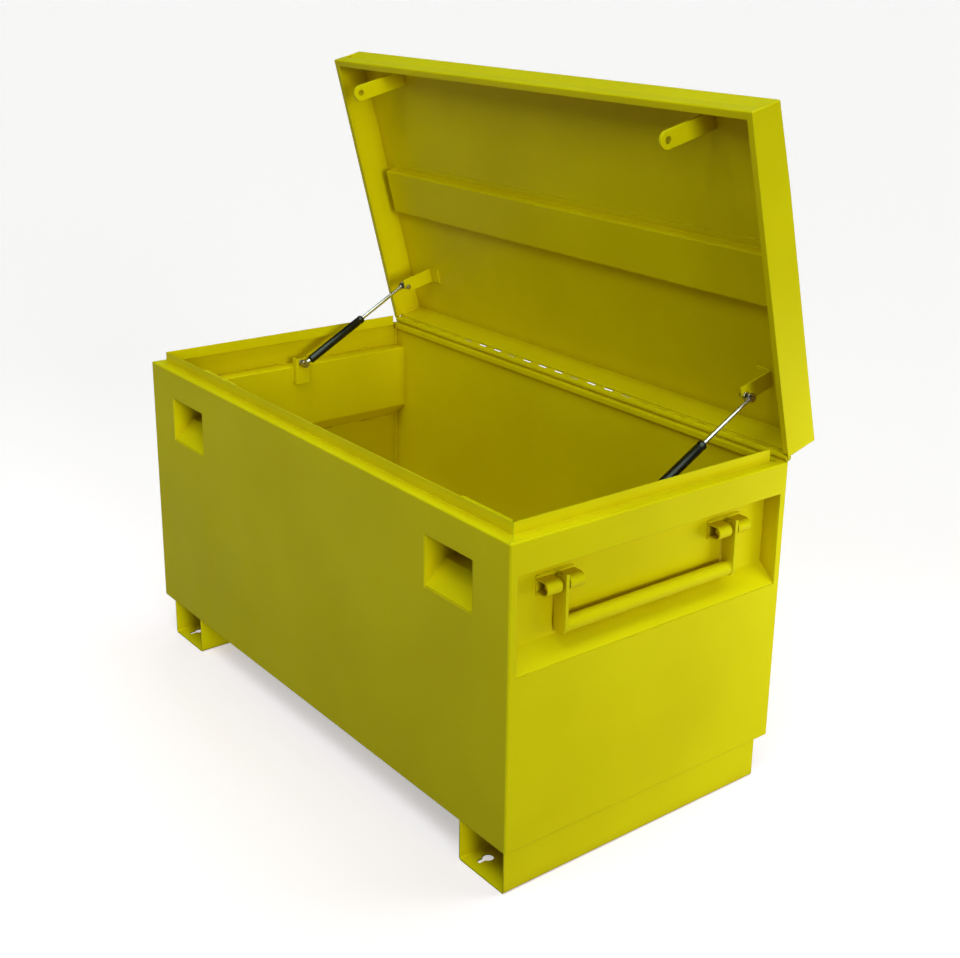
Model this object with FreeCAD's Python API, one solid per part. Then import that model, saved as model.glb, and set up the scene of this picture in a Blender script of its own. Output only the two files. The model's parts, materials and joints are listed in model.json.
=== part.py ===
import FreeCAD, Part
import math
import os

os.makedirs("parts", exist_ok=True)
V = FreeCAD.Vector

# Overall sizes, in millimetres. The frame is centred on the box's plan, with Z = 0 on the ground,
# +Z up, the lock pockets on the -Y side and the hinge on the +Y side.
LENGTH = 1220.0
DEPTH = 620.0
BODY_HEIGHT = 536.0
SKID_HEIGHT = 76.0
LID_HEIGHT = 72.0
GAUGE = 2.0
BEND = 3.2
HALF_X = LENGTH / 2
HALF_Y = DEPTH / 2
SHOULDER_Z = SKID_HEIGHT + BODY_HEIGHT

# Shoulder and weather lip round the top of the body
SHOULDER_WIDTH = 23.0
LIP_HEIGHT = 22.0
LIP_STOP = 23.0
BACK_LEDGE = 10.0
BACK_HEM = 12.0
MITRE_REACH = 60.0

# Floor tray
FLOOR_FLANGE = 20.0

# Lid, closed, before it is turned open
LID_GAP = 1.0
LID_RIM_Z = SHOULDER_Z + LID_GAP
LID_TOP_Z = LID_RIM_Z + LID_HEIGHT
LID_FRONT_HEIGHT = 68.0
LID_FRONT_TOP_Z = LID_RIM_Z + LID_FRONT_HEIGHT
LID_SLOPE_RUN = 150.0
LID_CREASE_Y = -HALF_Y + LID_SLOPE_RUN
FRONT_RETURN = 14.0
SIDE_RETURN = 12.0
RIM_STRIP = 25.0
GROOVE_DEPTH = 8.0
GROOVE_STEP = 2.5
GROOVE_BELOW_TOP = 4.0
OPEN_ANGLE = 75.5

# Continuous hinge
HINGE_BEHIND = 4.0
HINGE_ABOVE = 6.0
HINGE_Y = HALF_Y + HINGE_BEHIND
HINGE_Z = SHOULDER_Z + HINGE_ABOVE
BARREL_R = 6.5
PIN_R = 3.0
PIN_PLAY = 0.1
KNUCKLE_COUNT = 47
KNUCKLE_GAP = 0.4
HINGE_END_GAP = 4.0
HINGE_LENGTH = LENGTH - 2 * HINGE_END_GAP
LEAF_WIDTH = 43.0
LEAF_GAUGE = 2.0
KNUCKLE_CLEARANCE = 0.5
LID_RELIEF = 11.0

# Stiffening channel inside the lid
CHANNEL_FACE = 98.0
CHANNEL_HEIGHT = 22.0
CHANNEL_FOOT = 14.0
CHANNEL_GAUGE = 1.5
CHANNEL_Y = 6.0
CHANNEL_END_GAP = 30.0
CHANNEL_END = HALF_X - CHANNEL_END_GAP

# Lock pockets in the front panel
POCKET_FROM_END = 158.0
POCKET_X = HALF_X - POCKET_FROM_END
POCKET_HALF = 65.0
POCKET_HEIGHT = 92.0
POCKET_BELOW_SHOULDER = 58.0
POCKET_TOP = SHOULDER_Z - POCKET_BELOW_SHOULDER
POCKET_LOW = POCKET_TOP - POCKET_HEIGHT
POCKET_SLOPE_DEPTH = 42.0
POCKET_SLOPE_RISE = 41.0
POCKET_DEPTH = 80.0
POCKET_ROOF = SHOULDER_Z - 12.0
LATCH_SLOT_X = 16.0
LATCH_SLOT_Y = 46.0

# Latch bars on the lid, one over each lock pocket
LATCH_FROM_POCKET = 6.0
LATCH_X = POCKET_X + LATCH_FROM_POCKET
LATCH_BEHIND_FRONT = 48.0
LATCH_Y = -HALF_Y + LATCH_BEHIND_FRONT
LATCH_WIDTH = 32.0
LATCH_THICK = 6.0
LATCH_DROP = 60.0
LATCH_HOLE_R = 6.5
LATCH_HOLE_UP = 16.5
LATCH_FOOT = 30.0

# Handle recess in each end panel
RECESS_MARGIN = 15.0
RECESS_HALF = HALF_Y - RECESS_MARGIN
RECESS_HEIGHT = 172.0
RECESS_BELOW_SHOULDER = 56.0
RECESS_TOP = SHOULDER_Z - RECESS_BELOW_SHOULDER
RECESS_LOW = RECESS_TOP - RECESS_HEIGHT
RECESS_DEPTH = 37.0
RECESS_SLOPE_RISE = 33.0
RECESS_FOLD = RECESS_LOW + RECESS_SLOPE_RISE
RECESS_BACK_X = HALF_X - RECESS_DEPTH

# Drop handle
ARM_FROM_RECESS_END = 104.0
ARM_Y = RECESS_HALF - ARM_FROM_RECESS_END
ARM_THICK = 6.0
ARM_WIDTH = 29.0
ARM_CROWN = 19.5
ARM_CROWN_START = 9.0
PIVOT_FROM_BACK = 19.0
PIVOT_X = RECESS_BACK_X + PIVOT_FROM_BACK
PIVOT_BELOW_RECESS_TOP = 45.5
PIVOT_Z = RECESS_TOP - PIVOT_BELOW_RECESS_TOP
ARM_LENGTH = 72.5
GRIP_Z = PIVOT_Z - ARM_LENGTH
GRIP_R = 13.0
GRIP_WALL = 3.0
PIVOT_R = 6.0
PIVOT_PLAY = 0.06
SADDLE_R = 12.5
SADDLE_GAUGE = 2.5
SADDLE_REACH = 38.5
SADDLE_SLOT = 17.0
SADDLE_BASE = 3.0
SADDLE_EAR = 4.0
COLLAR_LENGTH = 9.0

# Skids under the box
SKID_WIDTH = 121.0
SKID_GAUGE = 3.0
SKID_BACK_INSET = 34.0
SKID_SETBACK = 0.8
LEFT_SKID_INSET = 48.0
KEYHOLE_R = 10.0
KEYHOLE_SLOT = 9.0
KEYHOLE_REACH = 22.0
KEYHOLE_FROM_END = 40.0
KEYHOLE_SHIFT = -32.0

# Gas springs, between a bracket on each handle pan and one on the lid
BODY_PLATE_STANDOFF = 18.0
BODY_PLATE_X = RECESS_BACK_X - BODY_PLATE_STANDOFF
STUD_STANDOFF = 18.0
SPRING_X = BODY_PLATE_X - STUD_STANDOFF
SPRING_LOW_FROM_HINGE = 296.5
SPRING_LOW_Y = HINGE_Y - SPRING_LOW_FROM_HINGE
SPRING_BELOW_SHOULDER = 41.8
SPRING_LOW_Z = SHOULDER_Z - SPRING_BELOW_SHOULDER
STUD_ALONG_LID = 103.5
STUD_BELOW_AXIS = 6.0
BALL_R = 5.0
BALL_PLAY = 0.35
SOCKET_R = 7.5
SOCKET_LENGTH = 12.0
NECK_R = 5.0
NECK_REACH = 14.0
TUBE_R = 9.0
TUBE_BORE_R = 8.0
TUBE_START = 14.0
TUBE_END = 174.0
GLAND_LENGTH = 6.0
ROD_R = 4.0
ROD_PLAY = 0.1
PISTON_R = 7.6
PISTON_LENGTH = 10.0
ROD_TAIL = 134.0
STUD_NECK_R = 3.0
STUD_FLANGE_R = 6.5
STUD_FLANGE = 4.0
STUD_BOLT_R = 3.0
BODY_GAP = 0.3
NUT_ACROSS = 10.0
NUT_THICK = 5.0

# Gas-spring brackets
LID_STUD_STANDOFF = 16.0
LID_PLATE_X = SPRING_X - LID_STUD_STANDOFF
LID_PLATE_THICK = 4.0
LID_PLATE_NEAR = 90.0
LID_PLATE_FAR = 121.0
LID_PLATE_DROP = 8.0
LID_PLATE_CUT = 12.0
LID_FOOT = 30.0
BODY_PLATE_THICK = 3.0
BODY_PLATE_FRONT = SPRING_LOW_Y - 11.5
BODY_PLATE_BACK = SPRING_LOW_Y + 24.5
BODY_PLATE_HIGH = SPRING_LOW_Z + 8.8
BODY_PLATE_LOW = BODY_PLATE_HIGH - 59.0


def unit2(a, b):
    """Unit vector from 2D point a to 2D point b."""
    dx = b[0] - a[0]
    dz = b[1] - a[1]
    size = math.hypot(dx, dz)
    return (dx / size, dz / size)


def offset_corners(points, gauge):
    """Corners of the sheet's back face, one gauge to the right of the walked skin."""
    ways = [unit2(points[i], points[i + 1]) for i in range(len(points) - 1)]
    normals = [(way[1], -way[0]) for way in ways]
    corners = []
    for i, point in enumerate(points):
        before = normals[max(i - 1, 0)]
        after = normals[min(i, len(normals) - 1)]
        share = 1.0 + before[0] * after[0] + before[1] * after[1]
        shift_a = gauge * (before[0] + after[0]) / share
        shift_b = gauge * (before[1] + after[1]) / share
        corners.append((point[0] + shift_a, point[1] + shift_b))
    return corners


def turn_sign(points, i):
    """Positive where the walked path turns left at corner i."""
    before = unit2(points[i - 1], points[i])
    after = unit2(points[i], points[i + 1])
    return before[0] * after[1] - before[1] * after[0]


def rounded_path(points, radii, place):
    """Edges along a 2D path whose inner corners are arcs of the given radii."""
    edges = []
    start = points[0]
    for i in range(1, len(points) - 1):
        corner = points[i]
        back = unit2(corner, points[i - 1])
        ahead = unit2(corner, points[i + 1])
        half = math.acos(max(-1.0, min(1.0, back[0] * ahead[0] + back[1] * ahead[1]))) / 2
        radius = radii[i]
        reach = radius / math.tan(half)
        enter = (corner[0] + back[0] * reach, corner[1] + back[1] * reach)
        leave = (corner[0] + ahead[0] * reach, corner[1] + ahead[1] * reach)
        middle_way = unit2((0.0, 0.0), (back[0] + ahead[0], back[1] + ahead[1]))
        crown = radius / math.sin(half) - radius
        crest = (corner[0] + middle_way[0] * crown, corner[1] + middle_way[1] * crown)
        edges.append(Part.LineSegment(place(*start), place(*enter)).toShape())
        edges.append(Part.Arc(place(*enter), place(*crest), place(*leave)).toShape())
        start = leave
    edges.append(Part.LineSegment(place(*start), place(*points[-1])).toShape())
    return edges


def folded_sheet(points, gauge, bend, place, sweep):
    """Folded sheet metal: the points walk along one skin with the metal on the right."""
    backs = offset_corners(points, gauge)
    skin_radii = [bend] * len(points)
    back_radii = [bend] * len(points)
    for i in range(1, len(points) - 1):
        if turn_sign(points, i) < 0:
            back_radii[i] = bend - gauge
        else:
            skin_radii[i] = bend - gauge
    edges = rounded_path(points, skin_radii, place)
    edges += rounded_path(backs, back_radii, place)
    edges.append(Part.LineSegment(place(*points[0]), place(*backs[0])).toShape())
    edges.append(Part.LineSegment(place(*points[-1]), place(*backs[-1])).toShape())
    wire = Part.Wire(Part.__sortEdges__(edges))
    return Part.Face(wire).extrude(sweep)


def prism(corners, sweep):
    """Solid swept from a polygon of vectors."""
    return Part.Face(Part.makePolygon(corners + [corners[0]])).extrude(sweep)


def box(low_x, high_x, low_y, high_y, low_z, high_z):
    """Box between its low and high faces."""
    return Part.makeBox(high_x - low_x, high_y - low_y, high_z - low_z, V(low_x, low_y, low_z))


def rod_along(radius, start, end):
    """Cylinder from one point to another."""
    way = end.sub(start)
    return Part.makeCylinder(radius, way.Length, start, way)


def mirror_x(shape):
    """The same shape on the other end of the box."""
    return shape.mirror(V(0, 0, 0), V(1, 0, 0))


def opened(shape):
    """Turn a closed lid piece to its open rest position."""
    turned = shape.copy()
    turned.rotate(V(0, HINGE_Y, HINGE_Z), V(1, 0, 0), -OPEN_ANGLE)
    return turned


def save(shape, name):
    """Write one named piece."""
    shape.exportStep("parts/" + name + ".step")


def plan_envelope(inset):
    """Rounded-corner block that trims every panel to the box's plan."""
    block = box(-HALF_X + inset, HALF_X - inset, -HALF_Y + inset, HALF_Y - inset,
                0, LID_TOP_Z + BEND)
    upright = [edge for edge in block.Edges
               if abs(edge.Vertexes[0].Z - edge.Vertexes[1].Z) > BEND]
    return block.makeFillet(BEND - inset * 0.5, upright)


def front_region():
    """Plan region of the front panel, mitred at both corners."""
    reach = MITRE_REACH
    corners = [V(-HALF_X, -HALF_Y, 0),
               V(HALF_X, -HALF_Y, 0),
               V(HALF_X - reach, -HALF_Y + reach, 0),
               V(-HALF_X + reach, -HALF_Y + reach, 0)]
    return prism(corners, V(0, 0, LID_TOP_Z))


def end_region():
    """Plan region of the right end panel, mitred at both corners."""
    reach = MITRE_REACH
    corners = [V(HALF_X, -HALF_Y, 0),
               V(HALF_X, HALF_Y, 0),
               V(HALF_X - reach, HALF_Y - reach, 0),
               V(HALF_X - reach, -HALF_Y + reach, 0)]
    return prism(corners, V(0, 0, LID_TOP_Z))


def rim_path():
    """Skin of a body side: up the panel, in along the shoulder and up the weather lip."""
    return [(0.0, SKID_HEIGHT),
            (0.0, SHOULDER_Z),
            (SHOULDER_WIDTH, SHOULDER_Z),
            (SHOULDER_WIDTH, SHOULDER_Z + LIP_HEIGHT)]


def front_panel(envelope):
    """Front panel with shoulder, weather lip and the two lock openings."""
    sheet = folded_sheet(rim_path(), GAUGE, BEND,
                         lambda a, z: V(-HALF_X, -HALF_Y + a, z), V(LENGTH, 0, 0))
    panel = sheet.common(front_region()).common(envelope)
    for centre in (-POCKET_X, POCKET_X):
        opening = box(centre - POCKET_HALF, centre + POCKET_HALF,
                      -HALF_Y - GAUGE, -HALF_Y + 2 * GAUGE, POCKET_LOW, POCKET_TOP)
        panel = panel.cut(opening)
    return panel


def back_panel(envelope):
    """Back panel with a short top ledge and hem behind the stored load."""
    path = [(0.0, SKID_HEIGHT),
            (0.0, SHOULDER_Z),
            (BACK_LEDGE, SHOULDER_Z),
            (BACK_LEDGE, SHOULDER_Z - BACK_HEM)]
    sheet = folded_sheet(path, GAUGE, BEND,
                         lambda a, z: V(-HALF_X, HALF_Y - a, z), V(LENGTH, 0, 0))
    region = front_region().mirror(V(0, 0, 0), V(0, 1, 0))
    return sheet.common(region).common(envelope)


def end_panel(envelope):
    """Right end panel with shoulder, weather lip and the handle opening."""
    sheet = folded_sheet(rim_path(), GAUGE, BEND,
                         lambda a, z: V(HALF_X - a, -HALF_Y, z), V(0, DEPTH, 0))
    panel = sheet.common(end_region()).common(envelope)
    opening = box(HALF_X - 2 * GAUGE, HALF_X + GAUGE, -RECESS_HALF, RECESS_HALF,
                  RECESS_LOW, RECESS_TOP)
    lip_end = box(HALF_X - MITRE_REACH, HALF_X, HALF_Y - LIP_STOP, HALF_Y + GAUGE,
                  SHOULDER_Z + GAUGE, LID_TOP_Z)
    shoulder_end = box(HALF_X - MITRE_REACH, HALF_X - SHOULDER_WIDTH, HALF_Y - LIP_STOP,
                       HALF_Y + GAUGE, SHOULDER_Z - 2 * GAUGE, LID_TOP_Z)
    return panel.cut(opening).cut(lip_end).cut(shoulder_end)


def floor_tray():
    """Floor plate with upturned edges against the panels."""
    side_x = HALF_X - GAUGE
    side_y = HALF_Y - GAUGE
    outer = box(-side_x, side_x, -side_y, side_y, SKID_HEIGHT, SKID_HEIGHT + FLOOR_FLANGE)
    upright = [edge for edge in outer.Edges
               if abs(edge.Vertexes[0].Z - edge.Vertexes[1].Z) > BEND]
    outer = outer.makeFillet(BEND - GAUGE * 0.5, upright)
    inner = box(-side_x + GAUGE, side_x - GAUGE, -side_y + GAUGE, side_y - GAUGE,
                SKID_HEIGHT + GAUGE, SKID_HEIGHT + FLOOR_FLANGE + GAUGE)
    return outer.cut(inner)


def handle_pan():
    """Folded pan behind the right handle opening, with a closing cheek at each end."""
    inner_x = HALF_X - GAUGE
    path = [(HALF_X, RECESS_LOW),
            (RECESS_BACK_X, RECESS_FOLD),
            (RECESS_BACK_X, RECESS_TOP),
            (HALF_X, RECESS_TOP)]
    reach = HALF_Y - GAUGE
    pan = folded_sheet([(x, z) for x, z in reversed(path)], GAUGE, BEND,
                       lambda x, z: V(x, -reach, z), V(0, 2 * reach, 0))
    cheek_corners = [V(HALF_X, RECESS_HALF, RECESS_LOW),
                     V(RECESS_BACK_X, RECESS_HALF, RECESS_FOLD),
                     V(RECESS_BACK_X, RECESS_HALF, RECESS_TOP),
                     V(HALF_X, RECESS_HALF, RECESS_TOP)]
    cheek = prism(cheek_corners, V(0, GAUGE, 0))
    other = cheek.mirror(V(0, 0, 0), V(0, 1, 0))
    wall = box(inner_x, HALF_X + BEND, -HALF_Y, HALF_Y, RECESS_LOW - BEND, RECESS_TOP + BEND)
    return pan.fuse([cheek, other]).cut(wall).removeSplitter()


def lock_pocket():
    """Right lock pocket: sloped bottom, deep upper chamber and a slotted roof."""
    skin_y = -HALF_Y + GAUGE
    slope_y = -HALF_Y + POCKET_SLOPE_DEPTH
    shelf_z = POCKET_LOW + POCKET_SLOPE_RISE
    back_y = -HALF_Y + POCKET_DEPTH
    path = [(-HALF_Y, POCKET_LOW),
            (slope_y, shelf_z),
            (back_y, shelf_z),
            (back_y, POCKET_ROOF),
            (-HALF_Y, POCKET_ROOF)]
    low_x = POCKET_X - POCKET_HALF
    shell = folded_sheet(path, GAUGE, BEND, lambda y, z: V(low_x - GAUGE, y, z),
                         V(2 * POCKET_HALF + 2 * GAUGE, 0, 0))
    corners = [V(low_x, y, z) for y, z in path]
    cheek = prism(corners, V(-GAUGE, 0, 0))
    other = prism([V(2 * POCKET_X - point.x, point.y, point.z) for point in corners],
                  V(GAUGE, 0, 0))
    slot = box(LATCH_X - LATCH_SLOT_X / 2, LATCH_X + LATCH_SLOT_X / 2,
               LATCH_Y - LATCH_SLOT_Y / 2, LATCH_Y + LATCH_SLOT_Y / 2,
               POCKET_ROOF - GAUGE, POCKET_ROOF + 2 * GAUGE)
    wall = box(low_x - BEND, low_x + 2 * POCKET_HALF + BEND, -HALF_Y - BEND, skin_y,
               POCKET_LOW - BEND, SHOULDER_Z)
    return shell.fuse([cheek, other]).cut(wall).cut(slot).removeSplitter()


def skid(low_x):
    """Channel skid with a keyhole anchor slot near each end of its web."""
    front = -HALF_Y
    back = HALF_Y - SKID_BACK_INSET
    path = [(low_x, SKID_HEIGHT), (low_x, 0.0),
            (low_x + SKID_WIDTH, 0.0), (low_x + SKID_WIDTH, SKID_HEIGHT)]
    channel = folded_sheet(list(reversed(path)), SKID_GAUGE, BEND + SKID_GAUGE,
                           lambda x, z: V(x, front, z), V(0, back - front, 0))
    hole_x = low_x + SKID_WIDTH / 2 + KEYHOLE_SHIFT
    for hole_y in (front + KEYHOLE_FROM_END, back - KEYHOLE_FROM_END):
        round_part = rod_along(KEYHOLE_R, V(hole_x, hole_y, -SKID_GAUGE),
                               V(hole_x, hole_y, 2 * SKID_GAUGE))
        slot = box(hole_x - KEYHOLE_SLOT / 2, hole_x + KEYHOLE_SLOT / 2,
                   hole_y - KEYHOLE_REACH, hole_y, -SKID_GAUGE, 2 * SKID_GAUGE)
        channel = channel.cut(round_part.fuse(slot))
    return channel


def knuckle_spans(first):
    """Start and end of every second knuckle along the hinge."""
    pitch = HINGE_LENGTH / KNUCKLE_COUNT
    spans = []
    for number in range(first, KNUCKLE_COUNT, 2):
        low = -HINGE_LENGTH / 2 + number * pitch
        spans.append((low, low + pitch))
    return spans


def hinge_leaf(upward, other_first):
    """One closed hinge leaf, cleared round the other leaf's knuckles and more so on the lid."""
    half = HINGE_LENGTH / 2
    barrel = rod_along(BARREL_R, V(-half, HINGE_Y, HINGE_Z), V(half, HINGE_Y, HINGE_Z))
    if upward:
        plate = box(-half, half, HALF_Y, HALF_Y + LEAF_GAUGE, HINGE_Z, HINGE_Z + LEAF_WIDTH)
    else:
        plate = box(-half, half, HALF_Y, HALF_Y + LEAF_GAUGE, HINGE_Z - LEAF_WIDTH, HINGE_Z)
    bore = rod_along(PIN_R + PIN_PLAY, V(-half - 1, HINGE_Y, HINGE_Z),
                     V(half + 1, HINGE_Y, HINGE_Z))
    reach = BARREL_R + KNUCKLE_CLEARANCE
    relief_top = HINGE_Z + (LID_RELIEF if upward else reach)
    gaps = [box(low - KNUCKLE_GAP / 2, high + KNUCKLE_GAP / 2, HINGE_Y - reach, HINGE_Y + reach,
                HINGE_Z - reach, relief_top)
            for low, high in knuckle_spans(other_first)]
    return barrel.fuse(plate).cut(bore).cut(Part.makeCompound(gaps))


def hinge_pin():
    """Pin through every knuckle."""
    half = HINGE_LENGTH / 2 + 1.5
    return rod_along(PIN_R, V(-half, HINGE_Y, HINGE_Z), V(half, HINGE_Y, HINGE_Z))


def lid_block(inset):
    """Closed lid as a solid, its panel falling a little towards the front."""
    corners = [V(-HALF_X + inset, -HALF_Y + inset, LID_RIM_Z - inset),
               V(-HALF_X + inset, -HALF_Y + inset, LID_FRONT_TOP_Z - inset),
               V(-HALF_X + inset, LID_CREASE_Y, LID_TOP_Z - inset),
               V(-HALF_X + inset, HALF_Y - inset, LID_TOP_Z - inset),
               V(-HALF_X + inset, HALF_Y - inset, LID_RIM_Z - inset)]
    return prism(corners, V(LENGTH - 2 * inset, 0, 0))


def lid_shell():
    """Closed lid: folded pan with a finger groove and return lips on its rim."""
    outer = lid_block(0.0)
    soft = []
    for edge in outer.Edges:
        high = max(vertex.Z for vertex in edge.Vertexes) > LID_RIM_Z + GAUGE
        crease = all(abs(vertex.Y - LID_CREASE_Y) < GAUGE for vertex in edge.Vertexes)
        if high and not crease:
            soft.append(edge)
    shell = outer.makeFillet(BEND, soft).cut(lid_block(GAUGE))
    knuckle_room = box(-HALF_X + GAUGE, HALF_X - GAUGE, HALF_Y - 2 * GAUGE, HALF_Y + GAUGE,
                       LID_RIM_Z - GAUGE, HINGE_Z + LID_RELIEF)
    groove_top = LID_FRONT_TOP_Z - GROOVE_BELOW_TOP
    front_room = box(-HALF_X + GAUGE, HALF_X - GAUGE, -HALF_Y - GAUGE, -HALF_Y + GAUGE,
                     LID_RIM_Z - GAUGE, groove_top)
    front_path = [(FRONT_RETURN, LID_RIM_Z),
                  (0.0, LID_RIM_Z),
                  (0.0, LID_RIM_Z + RIM_STRIP),
                  (GROOVE_DEPTH, LID_RIM_Z + RIM_STRIP + GROOVE_STEP),
                  (0.0, groove_top)]
    front = folded_sheet(front_path, GAUGE, BEND,
                         lambda a, z: V(-HALF_X + GAUGE, -HALF_Y + a, z),
                         V(LENGTH - 2 * GAUGE, 0, 0))
    right_lip = box(HALF_X - SIDE_RETURN, HALF_X - GAUGE, -HALF_Y + GAUGE, HALF_Y - 3 * GAUGE,
                    LID_RIM_Z, LID_RIM_Z + GAUGE)
    left_lip = mirror_x(right_lip)
    shell = shell.cut(knuckle_room).cut(front_room)
    return shell.fuse([front, right_lip, left_lip]).removeSplitter()


def lid_stiffener():
    """Hat channel across the inside of the lid."""
    base_z = LID_TOP_Z - GAUGE
    face_z = base_z - CHANNEL_HEIGHT
    near = CHANNEL_Y - CHANNEL_FACE / 2
    far = CHANNEL_Y + CHANNEL_FACE / 2
    path = [(near - CHANNEL_FOOT, base_z),
            (near, base_z),
            (near, face_z),
            (far, face_z),
            (far, base_z),
            (far + CHANNEL_FOOT, base_z)]
    path = [(y, z if z == face_z else z - CHANNEL_GAUGE) for y, z in path]
    return folded_sheet(list(reversed(path)), CHANNEL_GAUGE, BEND,
                        lambda y, z: V(-CHANNEL_END, y, z), V(2 * CHANNEL_END, 0, 0))


def latch_bar(centre_x):
    """Flat bar with a padlock hole, on a welded foot inside the lid."""
    low_x = centre_x - LATCH_THICK / 2
    room = lid_block(GAUGE)
    tip_z = LID_RIM_Z - LATCH_DROP
    nose_z = tip_z + LATCH_WIDTH / 2
    half = LATCH_WIDTH / 2
    strip = box(low_x, low_x + LATCH_THICK, LATCH_Y - half, LATCH_Y + half, nose_z, LID_TOP_Z)
    above = box(low_x, low_x + LATCH_THICK, LATCH_Y - half, LATCH_Y + half, LID_RIM_Z, LID_TOP_Z)
    strip = strip.cut(above.cut(room))
    nose = rod_along(half, V(low_x, LATCH_Y, nose_z), V(low_x + LATCH_THICK, LATCH_Y, nose_z))
    foot = box(low_x - LATCH_FOOT, low_x, LATCH_Y - half, LATCH_Y + half,
               LID_RIM_Z, LID_TOP_Z).common(room)
    room.translate(V(0, 0, -LATCH_THICK))
    foot = foot.cut(room)
    hole_z = tip_z + LATCH_HOLE_UP
    hole = rod_along(LATCH_HOLE_R, V(low_x - 1, LATCH_Y, hole_z),
                     V(low_x + LATCH_THICK + 1, LATCH_Y, hole_z))
    return strip.fuse([nose, foot]).cut(hole).removeSplitter()


def lid_bracket():
    """Right lid bracket: upright plate for the ball stud and a foot on the lid."""
    low_x = LID_PLATE_X - LID_PLATE_THICK / 2
    near = HINGE_Y - LID_PLATE_NEAR
    far = HINGE_Y - LID_PLATE_FAR
    base_z = LID_TOP_Z - GAUGE
    tip_z = LID_RIM_Z - LID_PLATE_DROP
    corners = [V(low_x, near, base_z),
               V(low_x, near, tip_z + LID_PLATE_CUT),
               V(low_x, near - LID_PLATE_CUT, tip_z),
               V(low_x, far, tip_z),
               V(low_x, far, base_z)]
    plate = prism(corners, V(LID_PLATE_THICK, 0, 0))
    foot = box(low_x - LID_FOOT, low_x, far, near, base_z - LID_PLATE_THICK, base_z)
    return plate.fuse(foot).removeSplitter()


def body_bracket():
    """Right body bracket: channel standing off the handle pan."""
    face_high = BODY_PLATE_X + BODY_PLATE_THICK / 2
    face_low = BODY_PLATE_X - BODY_PLATE_THICK / 2
    pan_x = RECESS_BACK_X - GAUGE
    path = [(pan_x, BODY_PLATE_FRONT),
            (face_low, BODY_PLATE_FRONT),
            (face_low, BODY_PLATE_BACK),
            (pan_x, BODY_PLATE_BACK)]
    height = BODY_PLATE_HIGH - BODY_PLATE_LOW
    bracket = folded_sheet(path, BODY_PLATE_THICK, BODY_PLATE_THICK + 1.5,
                           lambda x, y: V(x, y, BODY_PLATE_LOW), V(0, 0, height))
    hole = rod_along(STUD_BOLT_R, V(face_low - 1, SPRING_LOW_Y, SPRING_LOW_Z),
                     V(face_high + 1, SPRING_LOW_Y, SPRING_LOW_Z))
    return bracket.cut(hole)


def nut(face_x, y, z, way):
    """Hexagon nut on a face across X."""
    reach = NUT_ACROSS / math.sqrt(3)
    corners = [V(face_x, y + reach * math.cos(math.radians(60 * turn)),
                 z + reach * math.sin(math.radians(60 * turn))) for turn in range(6)]
    bore = rod_along(STUD_BOLT_R, V(face_x - way, y, z), V(face_x + way * 2 * NUT_THICK, y, z))
    return prism(corners, V(way * NUT_THICK, 0, 0)).cut(bore)


def spring_points():
    """Lower ball, upper ball and unit direction of the open right gas spring."""
    low = V(SPRING_X, SPRING_LOW_Y, SPRING_LOW_Z)
    angle = math.radians(OPEN_ANGLE)
    run = -STUD_ALONG_LID
    drop = -STUD_BELOW_AXIS
    high_y = HINGE_Y + run * math.cos(angle) + drop * math.sin(angle)
    high_z = HINGE_Z - run * math.sin(angle) + drop * math.cos(angle)
    high = V(SPRING_X, high_y, high_z)
    way = high.sub(low)
    way.normalize()
    return low, high, way


def along(start, way, distance):
    """Point at a distance from a start."""
    return start.add(V(way.x * distance, way.y * distance, way.z * distance))


def lower_stud():
    """Ball stud of the body bracket, with its hexagon shoulder and bolt end."""
    face = BODY_PLATE_X - BODY_PLATE_THICK / 2
    back = BODY_PLATE_X + BODY_PLATE_THICK / 2
    ball = Part.makeSphere(BALL_R, V(SPRING_X, SPRING_LOW_Y, SPRING_LOW_Z), V(1, 0, 0))
    neck = rod_along(STUD_NECK_R, V(SPRING_X, SPRING_LOW_Y, SPRING_LOW_Z),
                     V(face, SPRING_LOW_Y, SPRING_LOW_Z))
    flange = rod_along(STUD_FLANGE_R, V(face - STUD_FLANGE, SPRING_LOW_Y, SPRING_LOW_Z),
                       V(face, SPRING_LOW_Y, SPRING_LOW_Z))
    bolt = rod_along(STUD_BOLT_R, V(face, SPRING_LOW_Y, SPRING_LOW_Z),
                     V(back + NUT_THICK + 2, SPRING_LOW_Y, SPRING_LOW_Z))
    return ball.fuse([neck, flange, bolt]).removeSplitter()


def upper_stud():
    """Ball stud at the rod's end; it stops one body gap short of the lid plate."""
    low, high, way = spring_points()
    face = LID_PLATE_X + LID_PLATE_THICK / 2 + BODY_GAP
    ball = Part.makeSphere(BALL_R, high, V(1, 0, 0))
    neck = rod_along(STUD_NECK_R, V(face, high.y, high.z), high)
    flange = rod_along(STUD_FLANGE_R, V(face, high.y, high.z),
                       V(face + STUD_FLANGE, high.y, high.z))
    return ball.fuse([neck, flange]).removeSplitter()


def socket(centre, way, mouth_sign, play):
    """Cup round a ball stud, open on the stud's side, with a neck into the spring."""
    half = SOCKET_LENGTH / 2
    inner_x = centre.x + mouth_sign * half
    outer_x = centre.x - mouth_sign * half
    cup = rod_along(SOCKET_R, V(outer_x, centre.y, centre.z), V(inner_x, centre.y, centre.z))
    neck = rod_along(NECK_R, centre, along(centre, way, NECK_REACH))
    hollow = Part.makeSphere(BALL_R + play, centre, V(1, 0, 0))
    mouth = rod_along(BALL_R + play, centre, V(inner_x + mouth_sign, centre.y, centre.z))
    return cup.fuse(neck).cut(hollow).cut(mouth).removeSplitter()


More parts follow.
